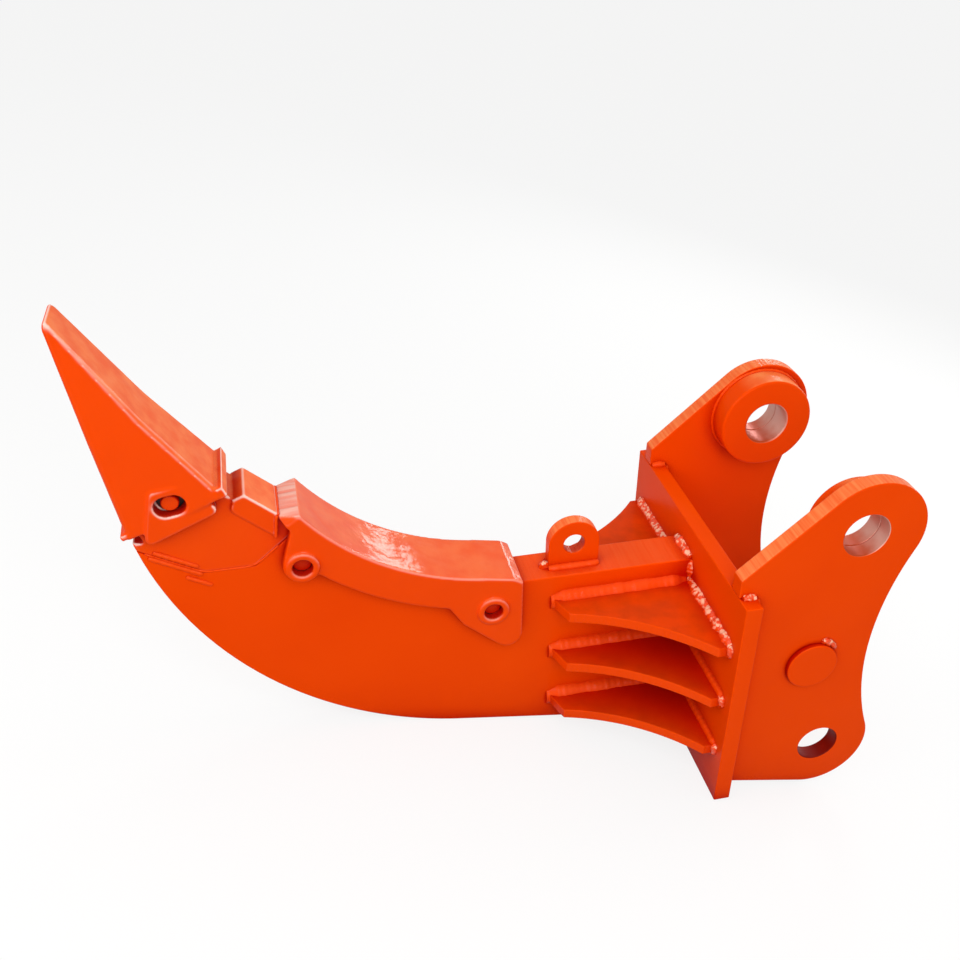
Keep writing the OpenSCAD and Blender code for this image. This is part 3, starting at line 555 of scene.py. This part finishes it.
def weldTree():
    tree = bpy.data.node_groups.new("weld bead", "GeometryNodeTree")
    for name, kind in (("Paths", "NodeSocketGeometry"), ("Step", "NodeSocketFloat"),
                       ("Ripple Pitch", "NodeSocketFloat"), ("Ripple Height", "NodeSocketFloat"),
                       ("Lump Size", "NodeSocketFloat"), ("Lump Height", "NodeSocketFloat"),
                       ("Corner Radius", "NodeSocketFloat"), ("Swell", "NodeSocketFloat"),
                       ("Drops", "NodeSocketBool"), ("Drop Spacing", "NodeSocketFloat"),
                       ("Seed", "NodeSocketInt"), ("Material", "NodeSocketMaterial")):
        tree.interface.new_socket(name, in_out="INPUT", socket_type=kind)
    tree.interface.new_socket("Beads", in_out="OUTPUT", socket_type="NodeSocketGeometry")
    given = addNode(tree, "NodeGroupInput").outputs

    def worked(kind, a, b=0.0):
        return addNode(tree, "ShaderNodeMath", {0: a, 1: b}, operation=kind).outputs[0]

    eased = addNode(tree, "GeometryNodeFilletCurve", {
        "Curve": given["Paths"], "Radius": given["Corner Radius"], "Limit Radius": True,
        "Count": beads["cornerSteps"]}, mode="POLY")
    fine = addNode(tree, "GeometryNodeResampleCurve",
                   {"Curve": eased.outputs[0], "Length": given["Step"]}, mode="LENGTH")
    along = addNode(tree, "GeometryNodeSplineParameter").outputs["Length"]
    whole = addNode(tree, "GeometryNodeSplineLength").outputs["Length"]
    left = worked("SUBTRACT", whole, along)
    toEnd = worked("MINIMUM", along, left)
    radius = addNode(tree, "GeometryNodeInputRadius").outputs[0]
    fade = addNode(tree, "ShaderNodeMapRange", {
        "Value": toEnd, "From Min": 0.0, "From Max": radius, "To Min": beads["endShare"], "To Max": 1.0},
        interpolation_type="SMOOTHSTEP")
    swellNoise = addNode(tree, "ShaderNodeTexNoise", {"Scale": beads["swellScale"], "Detail": 1.0})
    thin = worked("SUBTRACT", 1.0, given["Swell"])
    thick = worked("ADD", 1.0, given["Swell"])
    swell = addNode(tree, "ShaderNodeMapRange", {
        "Value": swellNoise.outputs["Fac"], "From Min": 0.25, "From Max": 0.75,
        "To Min": thin, "To Max": thick})
    shaped = worked("MULTIPLY", fade.outputs[0], swell.outputs[0])
    bead = worked("MULTIPLY", radius, shaped)
    sized = addNode(tree, "GeometryNodeSetCurveRadius", {"Curve": fine.outputs[0], "Radius": bead})
    kept = addNode(tree, "GeometryNodeStoreNamedAttribute",
                   {"Geometry": sized.outputs[0], "Name": "along", "Value": along},
                   data_type="FLOAT", domain="POINT")
    ring = addNode(tree, "GeometryNodeCurvePrimitiveCircle",
                   {"Resolution": beads["ringPoints"], "Radius": 1.0})
    tube = addNode(tree, "GeometryNodeCurveToMesh",
                   {"Curve": kept.outputs[0], "Profile Curve": ring.outputs[0], "Fill Caps": True})
    if "Scale" in tube.inputs:
        tree.links.new(addNode(tree, "GeometryNodeInputRadius").outputs[0], tube.inputs["Scale"])
    readAlong = addNode(tree, "GeometryNodeInputNamedAttribute",
                        {"Name": "along"}, data_type="FLOAT").outputs[0]
    turns = worked("DIVIDE", readAlong, given["Ripple Pitch"])
    angle = worked("MULTIPLY", turns, math.tau)
    wave = worked("SINE", angle)
    ripple = worked("MULTIPLY", wave, given["Ripple Height"])
    perLump = worked("DIVIDE", 1.0, given["Lump Size"])
    lumps = addNode(tree, "ShaderNodeTexNoise", {"Scale": perLump, "Detail": 2.0})
    centred = worked("SUBTRACT", lumps.outputs["Fac"], 0.5)
    lump = worked("MULTIPLY", centred, given["Lump Height"])
    rise = worked("ADD", ripple, lump)
    outwards = addNode(tree, "GeometryNodeInputNormal").outputs[0]
    push = addNode(tree, "ShaderNodeVectorMath", {0: outwards, "Scale": rise}, operation="SCALE").outputs[0]
    rough = addNode(tree, "GeometryNodeSetPosition", {"Geometry": tube.outputs[0], "Offset": push})
    # frozen drops stand on the bead, at uneven places and sizes
    points = addNode(tree, "GeometryNodeCurveToPoints",
                     {"Curve": sized.outputs[0], "Length": given["Drop Spacing"]}, mode="LENGTH")
    drop = addNode(tree, "GeometryNodeMeshIcoSphere", {"Radius": 1.0, "Subdivisions": beads["dropSteps"]})
    least, most = beads["dropShare"]
    share = addNode(tree, "FunctionNodeRandomValue",
                    {2: least, 3: most, "Seed": given["Seed"]}, data_type="FLOAT")
    dropRadius = addNode(tree, "GeometryNodeInputRadius").outputs[0]
    dropSize = worked("MULTIPLY", dropRadius, share.outputs[1])
    reach = beads["dropAside"]
    aside = addNode(tree, "FunctionNodeRandomValue",
                    {0: (-reach,) * 3, 1: (reach,) * 3, "Seed": given["Seed"]}, data_type="FLOAT_VECTOR")
    shift = addNode(tree, "ShaderNodeVectorMath",
                    {0: aside.outputs[0], "Scale": dropRadius}, operation="SCALE").outputs[0]
    loose = addNode(tree, "GeometryNodeSetPosition", {"Geometry": points.outputs[0], "Offset": shift})
    drops = addNode(tree, "GeometryNodeInstanceOnPoints",
                    {"Points": loose.outputs[0], "Instance": drop.outputs[0], "Scale": dropSize})
    wantedDrops = addNode(tree, "GeometryNodeSwitch", {"Switch": given["Drops"], "True": drops.outputs[0]},
                          input_type="GEOMETRY")
    both = addNode(tree, "GeometryNodeJoinGeometry", {"Geometry": rough.outputs[0]})
    tree.links.new(wantedDrops.outputs[0], both.inputs["Geometry"])
    real = addNode(tree, "GeometryNodeRealizeInstances", {"Geometry": both.outputs[0]})
    smooth = addNode(tree, "GeometryNodeSetShadeSmooth", {"Geometry": real.outputs[0]})
    painted = addNode(tree, "GeometryNodeSetMaterial",
                      {"Geometry": smooth.outputs[0], "Material": given["Material"]})
    addNode(tree, "NodeGroupOutput", {"Beads": painted.outputs[0]})
    return tree


def layWelds(tree, facts, paths, material):
    curve = bpy.data.curves.new("weld paths", "CURVE")
    curve.dimensions = "3D"
    for radiusMm, points in paths:
        spline = curve.splines.new("POLY")
        spline.points.add(len(points) - 1)
        for knot, (x, y, z) in zip(spline.points, points):
            knot.co = (*place(x, y, z), 1)
            knot.radius = radiusMm / 1000
    lines = bpy.data.objects.new("weld paths", curve)
    scene.collection.objects.link(lines)
    laid = lines.modifiers.new("weld beads", "NODES")
    laid.node_group = tree
    wanted = {**facts, "Drop Spacing": beads["dropSpacing"], "Corner Radius": beads["cornerRadius"],
              "Material": material}
    for item in tree.interface.items_tree:
        if item.name in wanted:
            laid[item.identifier] = wanted[item.name]
    bpy.context.view_layer.update()
    seen = lines.evaluated_get(bpy.context.evaluated_depsgraph_get())
    mesh = bpy.data.meshes.new_from_object(seen)
    piece = bpy.data.objects.new(facts["piece"], mesh)
    scene.collection.objects.link(piece)
    bpy.data.objects.remove(lines)
    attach(piece, "root")
    print("welds laid:", piece.name, len(mesh.polygons), "faces")


beadTree = weldTree()
runs = weldPaths()
layWelds(beadTree, beads["fillets"], runs["fillets"], filletEnamel)
layWelds(beadTree, beads["rough"], runs["rough"], lumpEnamel)

# Stage: pale floor, soft lamps, the photograph's camera.
studio = {
    "floorTone": "#F4F4F2", "bounceTone": "#9C9B99", "floorShare": 0.82, "floorHalf": 60.0, "floorGap": 0.0002,
    "worldTone": "#FFFFFF", "worldLight": 0.52,
    "camera": {"place": (-1.07647, -1.45206, 0.81077), "turn": (59.6496, -10.6554, -12.4823),
               "lens": 39.927, "sensor": 36, "clipEnd": 200},
    "lamps": [
        {"name": "overhead softbox", "place": (-0.2, 0.5, 2.3), "aim": (-0.2, 0, -0.3),
         "size": (2.2, 1.6), "power": 4},
        {"name": "front softbox", "place": (-1.0, -2.6, 0.8), "aim": (-0.2, 0, -0.3),
         "size": (2.0, 1.6), "power": 29},
        {"name": "left softbox", "place": (-3.0, -0.8, 1.1), "aim": (0.0, 0, -0.2),
         "size": (1.8, 1.6), "power": 26},
        {"name": "fill softbox", "place": (-0.9, -1.9, 1.9), "aim": (0.1, 0, -0.1),
         "size": (1.2, 1.0), "power": 18},
        {"name": "right softbox", "place": (2.4, 0.7, 0.7), "aim": (-0.9, 0, -0.1),
         "size": (1.2, 1.0), "power": 24},
        {"name": "back softbox", "place": (1.25, 2.6, 1.1), "aim": (-0.7, 0, -0.3),
         "size": (0.8, 0.6), "power": 18},
    ],
}


def seenShare(tree):
    # 1 for rays that show the ground to the eye, straight on or in a gloss
    ray = addNode(tree, "ShaderNodeLightPath").outputs
    glossy = addNode(tree, "ShaderNodeMath",
                     {0: ray["Is Glossy Ray"], 1: ray["Is Transmission Ray"]}, operation="MAXIMUM")
    return addNode(tree, "ShaderNodeMath",
                   {0: ray["Is Camera Ray"], 1: glossy.outputs[0]}, operation="MAXIMUM").outputs[0]


def buildStudio():
    floor = bpy.data.meshes.new("floor")
    low = place(0, 0, 0).z - studio["floorGap"]
    far = studio["floorHalf"]
    floor.from_pydata([(-far, -far, low), (far, -far, low), (far, far, low), (-far, far, low)],
                      [], [(0, 1, 2, 3)])
    floorPiece = bpy.data.objects.new("floor", floor)
    scene.collection.objects.link(floorPiece)
    material, tree = newMaterial("matt white floor")
    direct = seenShare(tree)
    tone = addNode(tree, "ShaderNodeMix", {
        0: direct, 6: toLinear(studio["bounceTone"]), 7: toLinear(studio["floorTone"])},
        data_type="RGBA").outputs[2]
    plain = addNode(tree, "ShaderNodeBsdfDiffuse", {"Color": tone})
    glow = addNode(tree, "ShaderNodeEmission", {"Color": toLinear(studio["worldTone"]), "Strength": 1.0})
    share = addNode(tree, "ShaderNodeMath",
                    {0: direct, 1: studio["floorShare"]}, operation="MULTIPLY").outputs[0]
    mix = addNode(tree, "ShaderNodeMixShader", {"Fac": share, 1: plain.outputs[0], 2: glow.outputs[0]})
    addNode(tree, "ShaderNodeOutputMaterial", {"Surface": mix.outputs[0]})
    floor.materials.append(material)

    world = bpy.data.worlds.new("white room")
    scene.world = world
    world.use_nodes = True
    world.node_tree.nodes.clear()
    tree = world.node_tree
    white = toLinear(studio["worldTone"])
    room = addNode(tree, "ShaderNodeBackground", {"Color": white, "Strength": studio["worldLight"]})
    back = addNode(tree, "ShaderNodeBackground", {"Color": white, "Strength": 1.0})
    mix = addNode(tree, "ShaderNodeMixShader",
                  {"Fac": seenShare(tree), 1: room.outputs[0], 2: back.outputs[0]})
    addNode(tree, "ShaderNodeOutputWorld", {"Surface": mix.outputs[0]})

    for facts in studio["lamps"]:
        lamp = bpy.data.lights.new(facts["name"], "AREA")
        lamp.shape = "RECTANGLE"
        lamp.size, lamp.size_y = facts["size"]
        lamp.energy = facts["power"]
        holder = bpy.data.objects.new(facts["name"], lamp)
        holder.location = facts["place"]
        ahead = Vector(facts["aim"]) - Vector(facts["place"])
        holder.rotation_euler = ahead.to_track_quat("-Z", "Y").to_euler()
        scene.collection.objects.link(holder)

    facts = studio["camera"]
    lens = bpy.data.cameras.new("camera")
    lens.lens = facts["lens"]
    lens.sensor_width = facts["sensor"]
    lens.sensor_fit = "AUTO"
    lens.clip_end = facts["clipEnd"]
    camera = bpy.data.objects.new("camera", lens)
    camera.location = facts["place"]
    camera.rotation_euler = [math.radians(a) for a in facts["turn"]]
    scene.collection.objects.link(camera)
    scene.camera = camera
    scene.view_settings.view_transform = "Standard"


buildStudio()
print("studio ready")
